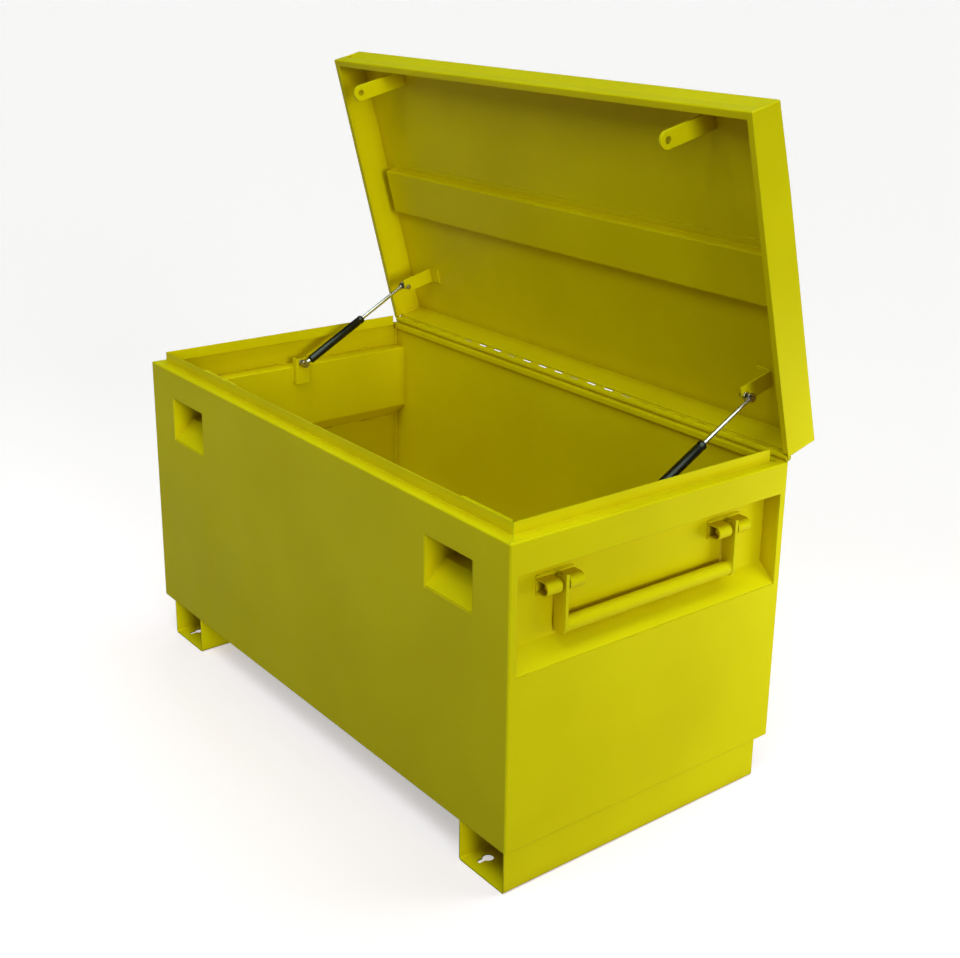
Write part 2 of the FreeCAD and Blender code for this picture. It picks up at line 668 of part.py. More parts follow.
def spring_tube():
    """Pressure tube with a closed lower end."""
    low, high, way = spring_points()
    body = rod_along(TUBE_R, along(low, way, TUBE_START), along(low, way, TUBE_END - GLAND_LENGTH))
    bore = rod_along(TUBE_BORE_R, along(low, way, TUBE_START + 4.0), along(low, way, TUBE_END))
    return body.cut(bore)


def spring_gland():
    """Rolled end of the tube that guides the rod."""
    low, high, way = spring_points()
    ring = rod_along(TUBE_R, along(low, way, TUBE_END - GLAND_LENGTH), along(low, way, TUBE_END))
    rim = [edge for edge in ring.Edges if edge.CenterOfMass.distanceToPoint(
        along(low, way, TUBE_END)) < 0.5 and edge.Closed]
    ring = ring.makeFillet(2.0, rim)
    bore = rod_along(ROD_R + ROD_PLAY, along(low, way, TUBE_END - 2 * GLAND_LENGTH),
                     along(low, way, TUBE_END + GLAND_LENGTH))
    return ring.cut(bore)


def spring_rod():
    """Polished rod with its piston inside the tube."""
    low, high, way = spring_points()
    span = high.sub(low).Length
    rod = rod_along(ROD_R, along(low, way, ROD_TAIL), along(low, way, span - NECK_REACH))
    piston = rod_along(PISTON_R, along(low, way, ROD_TAIL),
                       along(low, way, ROD_TAIL + PISTON_LENGTH))
    return rod.fuse(piston).removeSplitter()


def saddle(centre_y):
    """Slotted strap saddle on the right handle pan, round the arm's head."""
    pan_x = RECESS_BACK_X
    base_x = pan_x + SADDLE_BASE
    low_y = centre_y - SADDLE_REACH
    length = 2 * SADDLE_REACH
    reach_z = SADDLE_R + SADDLE_EAR
    base = box(pan_x, base_x, low_y, low_y + length, PIVOT_Z - reach_z, PIVOT_Z + reach_z)
    nose = rod_along(SADDLE_R, V(PIVOT_X, low_y, PIVOT_Z), V(PIVOT_X, low_y + length, PIVOT_Z))
    legs = box(base_x, PIVOT_X, low_y, low_y + length, PIVOT_Z - SADDLE_R, PIVOT_Z + SADDLE_R)
    inner_r = SADDLE_R - SADDLE_GAUGE
    bore = rod_along(inner_r, V(PIVOT_X, low_y - 1, PIVOT_Z), V(PIVOT_X, low_y + length + 1, PIVOT_Z))
    room = box(base_x, PIVOT_X, low_y - 1, low_y + length + 1, PIVOT_Z - inner_r, PIVOT_Z + inner_r)
    slot = box(base_x, HALF_X + GAUGE, centre_y - SADDLE_SLOT / 2, centre_y + SADDLE_SLOT / 2,
               PIVOT_Z - 2 * SADDLE_R, PIVOT_Z + 2 * SADDLE_R)
    strap = base.fuse([nose, legs]).removeSplitter()
    return strap.cut(bore).cut(room).cut(slot)


def pivot_pin(centre_y):
    """Pivot pin with two collars held in the saddle."""
    end = SADDLE_REACH - 8.0
    pin = rod_along(PIVOT_R, V(PIVOT_X, centre_y - end, PIVOT_Z), V(PIVOT_X, centre_y + end, PIVOT_Z))
    collar_r = SADDLE_R - SADDLE_GAUGE
    near = SADDLE_SLOT / 2
    collars = []
    for side in (-1, 1):
        start = V(PIVOT_X, centre_y + side * near, PIVOT_Z)
        finish = V(PIVOT_X, centre_y + side * (near + COLLAR_LENGTH), PIVOT_Z)
        collars.append(rod_along(collar_r, start, finish))
    return pin.fuse(collars).removeSplitter()


def handle_arm(centre_y):
    """Flat handle arm with a crowned head, a pivot hole and a seat for the grip tube."""
    low_y = centre_y - ARM_THICK / 2
    high_y = centre_y + ARM_THICK / 2
    half = ARM_WIDTH / 2
    blade = box(PIVOT_X - half, PIVOT_X + half, low_y, high_y, GRIP_Z, PIVOT_Z)
    head = rod_along(half, V(PIVOT_X, low_y, PIVOT_Z), V(PIVOT_X, high_y, PIVOT_Z))
    crown = prism([V(PIVOT_X, low_y, PIVOT_Z),
                   V(PIVOT_X, low_y, PIVOT_Z + half),
                   V(PIVOT_X + ARM_CROWN_START, low_y, PIVOT_Z + ARM_CROWN),
                   V(PIVOT_X + half, low_y, PIVOT_Z + ARM_CROWN),
                   V(PIVOT_X + half, low_y, PIVOT_Z)], V(0, ARM_THICK, 0))
    foot = rod_along(half, V(PIVOT_X, low_y, GRIP_Z), V(PIVOT_X, high_y, GRIP_Z))
    hole = rod_along(PIVOT_R + PIVOT_PLAY, V(PIVOT_X, low_y - 1, PIVOT_Z),
                     V(PIVOT_X, high_y + 1, PIVOT_Z))
    return blade.fuse([head, crown, foot]).cut(hole).removeSplitter()


def handle_grip():
    """Grip tube between the two arms."""
    half = ARM_Y - ARM_THICK / 2
    tube = rod_along(GRIP_R, V(PIVOT_X, -half, GRIP_Z), V(PIVOT_X, half, GRIP_Z))
    bore = rod_along(GRIP_R - GRIP_WALL, V(PIVOT_X, -half - 1, GRIP_Z), V(PIVOT_X, half + 1, GRIP_Z))
    return tube.cut(bore)


def save_pair(shape, name):
    """Write a right-hand piece and its mirrored left-hand twin."""
    save(shape, "right_" + name)
    save(mirror_x(shape), "left_" + name)


def save_body():
    """Write the fixed box and everything welded to it."""
    envelope = plan_envelope(0.0)
    save(front_panel(envelope), "front_panel")
    save(back_panel(envelope), "back_panel")
    save_pair(end_panel(envelope), "end_panel")
    save(floor_tray(), "floor_tray")
    save_pair(handle_pan(), "handle_pan")
    save_pair(lock_pocket(), "lock_pocket")
    save(skid(HALF_X - SKID_SETBACK - SKID_WIDTH), "right_skid")
    save(skid(-HALF_X + LEFT_SKID_INSET), "left_skid")
    save(hinge_leaf(False, 1), "body_hinge_leaf")
    save(hinge_pin(), "hinge_pin")
    for centre_y, place in ((-ARM_Y, "front"), (ARM_Y, "rear")):
        save_pair(saddle(centre_y), place + "_saddle")
        save_pair(pivot_pin(centre_y), place + "_pivot_pin")
    save_pair(body_bracket(), "body_bracket")
    save_pair(lower_stud(), "lower_ball_stud")
    save_pair(nut(BODY_PLATE_X + BODY_PLATE_THICK / 2, SPRING_LOW_Y, SPRING_LOW_Z, 1),
              "lower_stud_nut")


def save_lid():
    """Write the lid and everything fixed to it, turned open."""
    save(opened(lid_shell()), "lid_shell")
    save(opened(lid_stiffener()), "lid_stiffener")
    save(opened(latch_bar(LATCH_X)), "right_latch_bar")
    save(opened(latch_bar(-LATCH_X)), "left_latch_bar")
    save(opened(hinge_leaf(True, 0)), "lid_hinge_leaf")
    save_pair(opened(lid_bracket()), "lid_bracket")
    stud_y = HINGE_Y - STUD_ALONG_LID
    stud_z = HINGE_Z - STUD_BELOW_AXIS
    inner_face = LID_PLATE_X - LID_PLATE_THICK / 2
    end = rod_along(STUD_BOLT_R, V(inner_face, stud_y, stud_z),
                    V(inner_face - NUT_THICK - 2, stud_y, stud_z))
    fixing = nut(inner_face, stud_y, stud_z, -1).fuse(end).removeSplitter()
    save_pair(opened(fixing), "upper_stud_nut")


def save_springs():
    """Write both gas springs."""
    low, high, way = spring_points()
    save_pair(spring_tube(), "spring_tube")
    save_pair(spring_gland(), "spring_gland")
    save_pair(socket(low, way, 1, BALL_PLAY), "lower_socket")
    save_pair(spring_rod(), "spring_rod")
    back_way = V(-way.x, -way.y, -way.z)
    save_pair(socket(high, back_way, -1, 0.0), "upper_socket")
    save_pair(upper_stud(), "upper_ball_stud")


def save_handles():
    """Write both drop handles, hanging."""
    save_pair(handle_arm(-ARM_Y), "front_handle_arm")
    save_pair(handle_arm(ARM_Y), "rear_handle_arm")
    save_pair(handle_grip(), "handle_grip")


save_body()
save_lid()
save_springs()
save_handles()
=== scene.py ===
"""Looks of a steel jobsite chest: enamelled folded sheet, weld beads, a rolled hinge, gas springs
and drop handles. Shapes are worked out in millimetres and stored in metres, in the part's own
frame: X along the box, the hinge on +Y and Z up, with the ground at Z = 0."""
import json
import math

import bpy
import numpy as np
from mathutils import Matrix


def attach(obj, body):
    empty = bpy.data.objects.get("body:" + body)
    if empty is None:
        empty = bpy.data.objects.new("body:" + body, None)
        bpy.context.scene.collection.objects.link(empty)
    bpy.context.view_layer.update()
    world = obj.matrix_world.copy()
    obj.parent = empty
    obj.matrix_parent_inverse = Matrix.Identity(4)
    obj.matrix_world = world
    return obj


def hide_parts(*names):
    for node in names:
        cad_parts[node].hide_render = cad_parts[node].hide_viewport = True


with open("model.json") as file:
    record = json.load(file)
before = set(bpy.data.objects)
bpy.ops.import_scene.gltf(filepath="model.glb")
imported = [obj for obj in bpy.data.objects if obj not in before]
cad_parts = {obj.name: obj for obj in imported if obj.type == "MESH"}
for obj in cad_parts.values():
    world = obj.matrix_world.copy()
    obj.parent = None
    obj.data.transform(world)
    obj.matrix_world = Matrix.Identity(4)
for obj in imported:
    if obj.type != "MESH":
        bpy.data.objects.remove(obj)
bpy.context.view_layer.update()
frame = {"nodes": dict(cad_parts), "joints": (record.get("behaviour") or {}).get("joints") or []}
joints = {joint["name"]: joint for joint in frame["joints"]}

MM = 0.001

# Camera, measured in the part's frame, and the floor's reach: places in metres
CAMERA_PLACE = (2.12395, -1.53118, 1.43901)
CAMERA_RIGHT = (0.6309002, 0.7755546, 0.0219076)
CAMERA_UP = (-0.2485791, 0.1753055, 0.9526156)
CAMERA_BACK = (0.7349649, -0.6064511, 0.3033870)
CAMERA_LENS = 53.261
CAMERA_SENSOR = 36.0
CAMERA_SHIFT = (-0.0504, -0.0704)
CAMERA_CLIP = (0.05, 200.0)
FLOOR_REACH = 60.0

# Main planes of the box, in millimetres, as is all that follows
HALF_X = 610.0
HALF_Y = 310.0
GAUGE = 2.0
WALL_X = HALF_X - GAUGE
WALL_Y = HALF_Y - GAUGE
FLOOR_Z = 76.0
FLOOR_FLANGE = 20.0
BODY_HEIGHT = 536.0
SHOULDER_Z = FLOOR_Z + BODY_HEIGHT
LIP_INSET = 23.0
LID_GAP = 1.0
LID_HEIGHT = 72.0
LID_FALL = 4.0
LID_SLOPE_RUN = 150.0
LID_RIM_Z = SHOULDER_Z + LID_GAP
LID_TOP_Z = LID_RIM_Z + LID_HEIGHT
LID_FRONT_TOP_Z = LID_TOP_Z - LID_FALL

# Hinge: leaves, knuckles, the slots that show light (numbered as the knuckles are, from the left),
# spot welds and pin heads
HINGE_Y, HINGE_Z = np.array(joints["lid_hinge"]["pos_m"][1:]) / MM
OPEN_ANGLE = joints["lid_hinge"]["range_deg"][1]
HINGE_LENGTH = 1212.0
HINGE_END = HINGE_LENGTH / 2
KNUCKLES = 47
KNUCKLE_GAP = 0.4
KNUCKLE_FOOT = 6.0
KNUCKLE_INSET = 0.02
ROLL_END = -105.0
BORE_END = -120.0
BARREL_R = 6.5
BARREL_BORE_R = 3.2
LEAF_WIDTH = 43.0
LEAF_GAUGE = 2.0
LEAF_FACE_Y = HALF_Y + LEAF_GAUGE
LEAF_EASE = 0.3
LEAF_SHOULDER = 6.8
LID_LEAF_SHOULDER = 11.0
HUG_GAP = 0.08
HUG_INSET = 0.01
HUG_DEPTH = 4.0
SLOT_FIRST = 10
SLOT_LAST = 30
NARROW_SLOTS = (10, 16, 24, 30)
NARROW_SLOT = 1.6
SHUT_SLOT = 0.4
SLOT_OVERLAP = 1.0
SPOT_COUNT = 16
SPOT_FROM_END = 30.0
SPOT_FROM_EDGE = 14.0
PIN_OVERHANG = 1.55

# Handle pan, saddles and grip
PAN_DEPTH = 37.0
PAN_BELOW_SHOULDER = 56.0
PAN_HEIGHT = 172.0
PAN_BACK_X = HALF_X - PAN_DEPTH
PAN_TOP_Z = SHOULDER_Z - PAN_BELOW_SHOULDER
PAN_LOW_Z = PAN_TOP_Z - PAN_HEIGHT
PAN_STITCH_HALF = 285.0
PAN_STITCH_DROP = 1.0
PAN_PITCH = 110.0
SADDLE_Y = 191.0
SADDLE_REACH = 38.5
SADDLE_HALF = 16.5
SADDLE_BEAD_SHORT = 2.0
GRIP_X, _, SADDLE_Z = np.array(joints["right_handle_pivot"]["pos_m"]) / MM
ARM_LENGTH = 72.5
GRIP_Z = SADDLE_Z - ARM_LENGTH
GRIP_R = 13.0
GRIP_WALL = 3.0
GRIP_HALF = 188.0
GRIP_LEG = 1.5

# Lock pockets, latch bars, stiffener and brackets
POCKET_FROM_END = 158.0
POCKET_HALF = 65.0
POCKET_X = HALF_X - POCKET_FROM_END
POCKET_OUTER = POCKET_HALF + GAUGE
POCKET_STITCH_Z = (468.0, 600.0)
POCKET_PITCH = 44.0
LATCH_FROM_POCKET = 6.0
LATCH_BEHIND_FRONT = 48.0
LATCH_X = POCKET_X + LATCH_FROM_POCKET
LATCH_Y = -HALF_Y + LATCH_BEHIND_FRONT
LATCH_THICK = 6.0
LATCH_HALF = 16.0
LATCH_FOOT = 30.0
LATCH_BEAD_SHORT = 1.0
CHANNEL_Y = 6.0
CHANNEL_REACH = 63.0
CHANNEL_END_GAP = 30.0
CHANNEL_END = HALF_X - CHANNEL_END_GAP
CHANNEL_PITCH = 145.0
LID_FOOT_X = (489.0, 519.0)
LID_FOOT_Y = (193.0, 224.0)
BRACKET_Y = (6.0, 42.0)
BRACKET_Z = (522.0, 555.0)

# Skids and the floor tray's stitches
SKID_WIDTH = 121.0
SKID_SETBACK = 0.8
LEFT_SKID_INSET = 48.0
RIGHT_SKID_IN_X = HALF_X - SKID_SETBACK - SKID_WIDTH
LEFT_SKID_OUT_X = -HALF_X + LEFT_SKID_INSET
SKID_STITCH_Y = (-290.0, 262.0)
SKID_PITCH = 92.0
FLOOR_STITCH_X = 540.0
FLOOR_STITCH_Y = 250.0
FLOOR_PITCH = 150.0

# Gas springs, measured from the lower ball along the spring
SPRING_LENGTH = 302.6
TUBE_START = 14.0
TUBE_END = 174.0
TUBE_R = 9.0
TUBE_BORE_R = 8.0
ROD_TAIL = 134.0
ROD_R = 4.0
NECK = 14.0
STUD_FACE_LOW = 553.5
STUD_FACE_HIGH = 523.3
FLANGE = 4.0
CLIP_R = 8.0
CLIP_WIRE_R = 0.7
CLIP_OPENING = 40.0

# Weld beads: the real ripple is about 2 mm long, drawn coarser so that it shows. The depth, the
# bows, the thinned end and the root in the metal are shares of a ripple or of a leg
RIPPLE = 5.0
RIPPLE_DEPTH = 0.16
RIPPLE_STEPS = 6
BOW = 0.4
RING_BOW = 0.8
BEAD_END = 0.3
ROOT = 0.3
OVERRUN = 0.04
RING_OVERRUN = 4.0
LEG = 3.5
STITCH = 28.0
SADDLE_LEGS = (2.2, 1.6)
BRACKET_LEGS = (3.0, 3.0)
CORNER_LEGS = (4.0, 4.0)
MITRE_LEGS = (2.2, 0.45)
FLOOR_LEGS = (2.5, 1.9)
CHANNEL_LEGS = (3.2, 1.8)
LID_FOOT_LEGS = (3.2, 3.2)
SEAM_ABOVE_FLOOR = 24.0
SEAM_BELOW_SHOULDER = 6.0
MITRE_INSET = 2.5
MITRE_SUNK = 0.15
LID_SEAM_FRONT = 34.0
LID_SEAM_BACK = 20.0
LID_SEAM_SHORT = 2.0

# Creases sharper than this many degrees stay crisp
SHARP_ANGLE = 38.0

# Light through a window, and from workshop tubes
DAY_COLOUR = "#EAFFEA"
TUBE_COLOUR = "#DEFFDE"


def unit(vector):
    """Vector over its own length."""
    return np.asarray(vector, float) / np.linalg.norm(vector)


def axes_across(way, hint):
    """Two unit directions square to a way and to each other; the first is square to the hint."""
    side = unit(np.cross(way, hint))
    return side, np.cross(way, side)


def to_open(points):
    """Points of the shut lid turned about the hinge line to the open rest.

    y' = cos(A) dy + sin(A) dz and z' = cos(A) dz - sin(A) dy, measured from the hinge line."""
    angle = math.radians(OPEN_ANGLE)
    away = points - (0.0, HINGE_Y, HINGE_Z)
    turned = away.copy()
    turned[..., 1] = math.cos(angle) * away[..., 1] + math.sin(angle) * away[..., 2]
    turned[..., 2] = math.cos(angle) * away[..., 2] - math.sin(angle) * away[..., 1]
    return turned + (0.0, HINGE_Y, HINGE_Z)


def opened(shells):
    """Shells of the shut lid, turned with it to the open rest."""
    return [(to_open(points), quads, caps) for points, quads, caps in shells]


def mirrored(shells):
    """The same shells on the other end of the box."""
    return [(points * (-1.0, 1.0, 1.0), quads, caps) for points, quads, caps in shells]


def skin(sections, wrap=False):
    """Closed shell over a row of closed sections, an array of rings by points by XYZ.

    Neighbouring rings are joined by quads; the end rings are capped, or joined to each other."""
    rings, around = sections.shape[:2]
    index = np.arange(rings * around).reshape(rings, around)
    rows = np.vstack([index, index[:1]]) if wrap else index
    near, far = rows[:-1], rows[1:]
    quads = np.stack([near, np.roll(near, -1, 1), np.roll(far, -1, 1), far], -1).reshape(-1, 4)
    caps = [] if wrap else [index[0][::-1], index[-1]]
    return sections.reshape(-1, 3), quads, caps


def signed_volume(points, quads, caps):
    """Sum of the corner determinants of every face split into a fan, over six."""
    fans = [quads[:, [0, 1, 2]], quads[:, [0, 2, 3]]]
    for cap in caps:
        fans.append(np.stack([np.full(len(cap) - 2, cap[0]), cap[1:-1], cap[2:]], -1))
    corners = points[np.concatenate(fans)]
    return np.linalg.det(corners).sum() / 6


def ripple(phase):
    """Size of a bead against its phase: full at a coin's middle, less between two coins."""
    return 1 - RIPPLE_DEPTH + RIPPLE_DEPTH * np.abs(np.cos(phase))


def bead(start, end, across, out, legs=(LEG, LEG), turn=90.0):
    """Weld bead along a straight line, like a row of laid coins.

    At angle t across the bead and distance s along it the skin stands at
    across * a * r cos(t) + out * b * r sin(t), with legs a and b, where
    r = taper(s) * ripple(pi (s + bow) / length of a ripple) and bow follows sin(pi t / turn).
    The skin runs on a little past both legs, and a last point sits behind it, in the metal."""
    start, end = np.asarray(start, float), np.asarray(end, float)
    length = np.linalg.norm(end - start)
    way = (end - start) / length
    across, out = unit(across), unit(out)
    s = np.linspace(0.0, length, max(9, int(length / RIPPLE * RIPPLE_STEPS)))[:, None]
    share = np.linspace(-OVERRUN, 1 + OVERRUN, 7)[None, :]
    angle = np.radians(turn) * share
    taper = np.maximum(BEAD_END, 1 - np.abs(2 * s / length - 1) ** (length / RIPPLE)) ** 0.5
    bow = BOW * RIPPLE * np.sin(math.pi * share)
    size = taper * ripple(math.pi * (s + bow) / RIPPLE)
    skin_points = (start + way * s[..., None]
                   + across * (legs[0] * size * np.cos(angle))[..., None]
                   + out * (legs[1] * size * np.sin(angle))[..., None])
    middle = np.radians(turn) / 2
    inward = across * math.cos(middle) + out * math.sin(middle)
    behind = start + way * s[..., None] - inward * ROOT * min(legs)
    return skin(np.concatenate([skin_points, behind], axis=1))


def ring_bead(centre, axis, radius, leg):
    """Weld bead round a tube where it meets a plate.

    Round the ring at angle p the skin stands at radius + leg r cos(t) outwards and leg r sin(t)
    along the axis, with the same ripple r as a straight bead."""
    side, other = axes_across(axis, (0.3, 0.5, 0.8))
    count = max(8, int(round(2 * math.pi * radius / RIPPLE)))
    p = np.linspace(0, 2 * math.pi, count * RIPPLE_STEPS, endpoint=False)[:, None, None]
    t = np.radians(np.linspace(-RING_OVERRUN, 90 + RING_OVERRUN, 6))[None, :, None]
    size = leg * ripple(count * p / 2 + RING_BOW * np.sin(2 * t))
    radial = side * np.cos(p) + other * np.sin(p)
    skin_points = centre + radial * (radius + size * np.cos(t)) + axis * size * np.sin(t)
    behind = centre + radial * (radius - ROOT * leg) - axis * ROOT * leg
    return skin(np.concatenate([skin_points, behind], axis=1), wrap=True)


def lathe(profile, foot, way, around=48):
    """Turned shape: at angle p the ring of a (distance, radius) pair stands at
    foot + way * distance + radial(p) * radius."""
    profile = np.asarray(profile, float)
    way = unit(way)
    side, other = axes_across(way, (0.11, 0.23, 0.97))
    p = np.linspace(0, 2 * math.pi, around, endpoint=False)[None, :, None]
    radial = side * np.cos(p) + other * np.sin(p)
    rings = foot + way * profile[:, 0, None, None] + radial * profile[:, 1, None, None]
    return skin(rings)


def spread(outline, places):
    """Closed YZ outline carried to each X place in turn."""
    outline = np.asarray(outline, float)
    rings = np.empty((len(places), len(outline), 3))
    rings[:, :, 0] = np.asarray(places, float)[:, None]
    rings[:, :, 1:] = outline[None]
    return skin(rings)


def arc(centre, radius, first, last, steps):
    """Points of a circle's arc between two angles in degrees."""
    angle = np.radians(np.linspace(first, last, steps))
    return np.stack([centre[0] + radius * np.cos(angle), centre[1] + radius * np.sin(angle)], -1)


def stitches(start, end, pitch, across, out, legs=(LEG, LEG)):
    """Short weld beads at an even pitch along a line."""
    start, end = np.asarray(start, float), np.asarray(end, float)
    length = np.linalg.norm(end - start)
    way = (end - start) / length
    count = max(1, int(length // pitch))
    first = (length - (count - 1) * pitch) / 2
    centres = [start + way * (first + number * pitch) for number in range(count)]
    half = way * STITCH / 2
    return [bead(centre - half, centre + half, across, out, legs) for centre in centres]


def piece(name, shells, finish, body, stands_for=()):
    """One object from closed shells in millimetres, with outward faces, riding on its body."""
    points, faces, count = [], [], 0
    for shell_points, quads, caps in shells:
        turned_in = signed_volume(shell_points, quads, caps) < 0
        step = -1 if turned_in else 1
        faces += (quads[:, ::step] + count).tolist()
        faces += [(cap[::step] + count).tolist() for cap in caps]
        points.append(shell_points)
        count += len(shell_points)
    mesh = bpy.data.meshes.new(name)
    mesh.from_pydata(np.concatenate(points) * MM, [], faces)
    mesh.polygons.foreach_set("use_smooth", np.ones(len(faces), bool))
    mesh.set_sharp_from_angle(angle=math.radians(SHARP_ANGLE))
    mesh.materials.append(FINISHES[finish])
    made = bpy.data.objects.new(name, mesh)
    bpy.context.scene.collection.objects.link(made)
    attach(made, body)
    if stands_for:
        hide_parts(*stands_for)


def linear(colour):
    """sRGB hex text as linear RGBA: c / 12.92, or ((c + 0.055) / 1.055) ** 2.4 above 0.04045."""
    parts = [int(colour[i:i + 2], 16) / 255 for i in (1, 3, 5)]
    return [c / 12.92 if c <= 0.04045 else ((c + 0.055) / 1.055) ** 2.4 for c in parts] + [1.0]


def add(tree, kind, settings, feeds):
    """Adds a node: settings are its properties, feeds its inputs' values or source sockets."""
    made = tree.nodes.new(kind)
    for name, value in settings.items():
        setattr(made, name, value)
    for key, value in feeds.items():
        if isinstance(value, bpy.types.NodeSocket):
            tree.links.new(value, made.inputs[key])
        else:
            made.inputs[key].default_value = value
    return made


def blank(name):
    """Empty node material with its shader, and the object-space position in metres."""
    material = bpy.data.materials.new(name)
    material.use_nodes = True
    tree = material.node_tree
    tree.nodes.clear()
    shader = add(tree, "ShaderNodeBsdfPrincipled", {}, {})
    add(tree, "ShaderNodeOutputMaterial", {}, {"Surface": shader.outputs["BSDF"]})
    place = add(tree, "ShaderNodeTexCoord", {}, {}).outputs["Object"]
    return material, tree, shader, place


def noise(tree, place, size_mm, detail, roughness=0.5):
    """Noise whose patches are about size_mm across."""
    feeds = {"Vector": place, "Scale": 1 / (size_mm * MM), "Detail": detail,
             "Roughness": roughness}
    return add(tree, "ShaderNodeTexNoise", {}, feeds).outputs["Fac"]


def remap(tree, value, low, high, to_low, to_high):
    """Straight-line change of range, held at both ends."""
    feeds = {"Value": value, "From Min": low, "From Max": high,
             "To Min": to_low, "To Max": to_high}
    return add(tree, "ShaderNodeMapRange", {"clamp": True}, feeds).outputs["Result"]


def mix(tree, share, first, second):
    """Colour between two, by share."""
    made = add(tree, "ShaderNodeMix", {"data_type": "RGBA"}, {0: share, 6: first, 7: second})
    return made.outputs[2]


def product(tree, first, second):
    """One number times another."""
    made = add(tree, "ShaderNodeMath", {"operation": "MULTIPLY"}, {0: first, 1: second})
    return made.outputs[0]


def bump(tree, height, depth_mm, strength, normal=None):
    """Relief of a height pattern whose full swing is depth_mm."""
    feeds = {"Height": height, "Distance": depth_mm * MM, "Strength": strength}
    if normal is not None:
        feeds["Normal"] = normal
    return add(tree, "ShaderNodeBump", {}, feeds).outputs["Normal"]


def yellow_enamel():
    """Sprayed and baked alkyd enamel on mild steel sheet: glossy, with orange peel, slow tone drift
    from the spray passes, sheet that isn't quite flat, thin paint on the edges that sets glassier,
    faint handling smears, a painted highlight along the folds and painted shade in the corners."""
    material, tree, shader, place = blank("yellow_enamel")
    drift = remap(tree, noise(tree, place, size_mm=260.0, detail=2.0), 0.3, 0.7, 0.0, 1.0)
    colour = mix(tree, drift, linear("#EAD206"), linear("#E1C805"))
    # Painted shade: enclosed corners and pockets, found by ambient occlusion, turn browner in patches
    openness = add(tree, "ShaderNodeAmbientOcclusion", {"samples": 4},
                   {"Distance": 45 * MM}).outputs["AO"]
    patches = noise(tree, place, size_mm=35.0, detail=3.0)
    painted_shade = product(tree, remap(tree, openness, 0.70, 0.25, 0.0, 0.75),
                    remap(tree, patches, 0.3, 0.7, 0.55, 1.0))
    colour = mix(tree, painted_shade, colour, linear("#B48C06"))
    # Folds look 2.2 mm round, and their colour is lifted towards pale yellow as a painted highlight
    soft_edge = add(tree, "ShaderNodeBevel", {"samples": 4}, {"Radius": 2.2 * MM}).outputs["Normal"]
    facing = add(tree, "ShaderNodeNewGeometry", {}, {}).outputs["Normal"]
    flatness = add(tree, "ShaderNodeVectorMath", {"operation": "DOT_PRODUCT"},
                   {0: soft_edge, 1: facing}).outputs["Value"]
    edge = remap(tree, flatness, 0.97, 0.80, 0.0, 1.0)
    colour = mix(tree, product(tree, edge, 0.60), colour, linear("#F7F02C"))
    # Chips a millimetre or two across, only where an edge gets knocked
    chips = remap(tree, noise(tree, place, size_mm=7.0, detail=3.0, roughness=0.6),
                  0.66, 0.70, 0.0, 1.0)
    chipped = product(tree, chips, remap(tree, flatness, 0.90, 0.75, 0.0, 0.45))
    colour = mix(tree, chipped, colour, linear("#7A7148"))
    tree.links.new(colour, shader.inputs["Base Color"])
    # Gloss of a baked enamel, dulled in smears about 90 mm long; paint drawn thin round an edge
    # sets glassier
    smears = noise(tree, place, size_mm=90.0, detail=4.0, roughness=0.62)
    dulled = remap(tree, smears, 0.35, 0.70, 0.30, 0.42)
    tree.links.new(product(tree, dulled, remap(tree, edge, 0.0, 1.0, 1.0, 0.45)),
                   shader.inputs["Roughness"])
    shader.inputs["IOR"].default_value = 1.50
    # The pigment lies close under the surface, so its highlights are weak and stay warm
    shader.inputs["Specular IOR Level"].default_value = 0.32
    shader.inputs["Specular Tint"].default_value = linear("#FFFB48")
    # Sheet waves about 300 mm across; orange peel is really 1 mm, drawn at 2.5 mm to show
    sheet = noise(tree, place, size_mm=300.0, detail=1.0)
    waves = bump(tree, sheet, depth_mm=3.0, strength=0.6, normal=soft_edge)
    orange = noise(tree, place, size_mm=2.5, detail=1.0)
    peel = bump(tree, orange, depth_mm=0.05, strength=0.35, normal=waves)
    tree.links.new(peel, shader.inputs["Normal"])
    return material


def black_enamel():
    """Black baked paint on a drawn steel tube: half gloss with fine dust and light rub marks."""
    material, tree, shader, place = blank("black_enamel")
    specks = noise(tree, place, size_mm=6.0, detail=4.0, roughness=0.7)
    dust = remap(tree, specks, 0.5, 0.75, 0.0, 0.5)
    colour = mix(tree, dust, linear("#070707"), linear("#241E17"))
    tree.links.new(colour, shader.inputs["Base Color"])
    rub = noise(tree, place, size_mm=12.0, detail=3.0)
    tree.links.new(remap(tree, rub, 0.3, 0.7, 0.24, 0.36), shader.inputs["Roughness"])
    shader.inputs["IOR"].default_value = 1.50
    # The paint's skin is really pebbled at about 1 mm, drawn at 1.5 mm to show
    peel = bump(tree, noise(tree, place, size_mm=1.5, detail=1.0), depth_mm=0.03, strength=0.4)
    tree.links.new(peel, shader.inputs["Normal"])
    return material


def polished_rod():
    """Hard chrome on ground steel: a clear mirror with a faint haze of oil."""
    material, tree, shader, place = blank("polished_rod")
    shader.inputs["Base Color"].default_value = linear("#E4DCE6")
    shader.inputs["Metallic"].default_value = 1.0
    oil = noise(tree, place, size_mm=6.0, detail=3.0)
    tree.links.new(remap(tree, oil, 0.35, 0.7, 0.18, 0.30), shader.inputs["Roughness"])
    return material


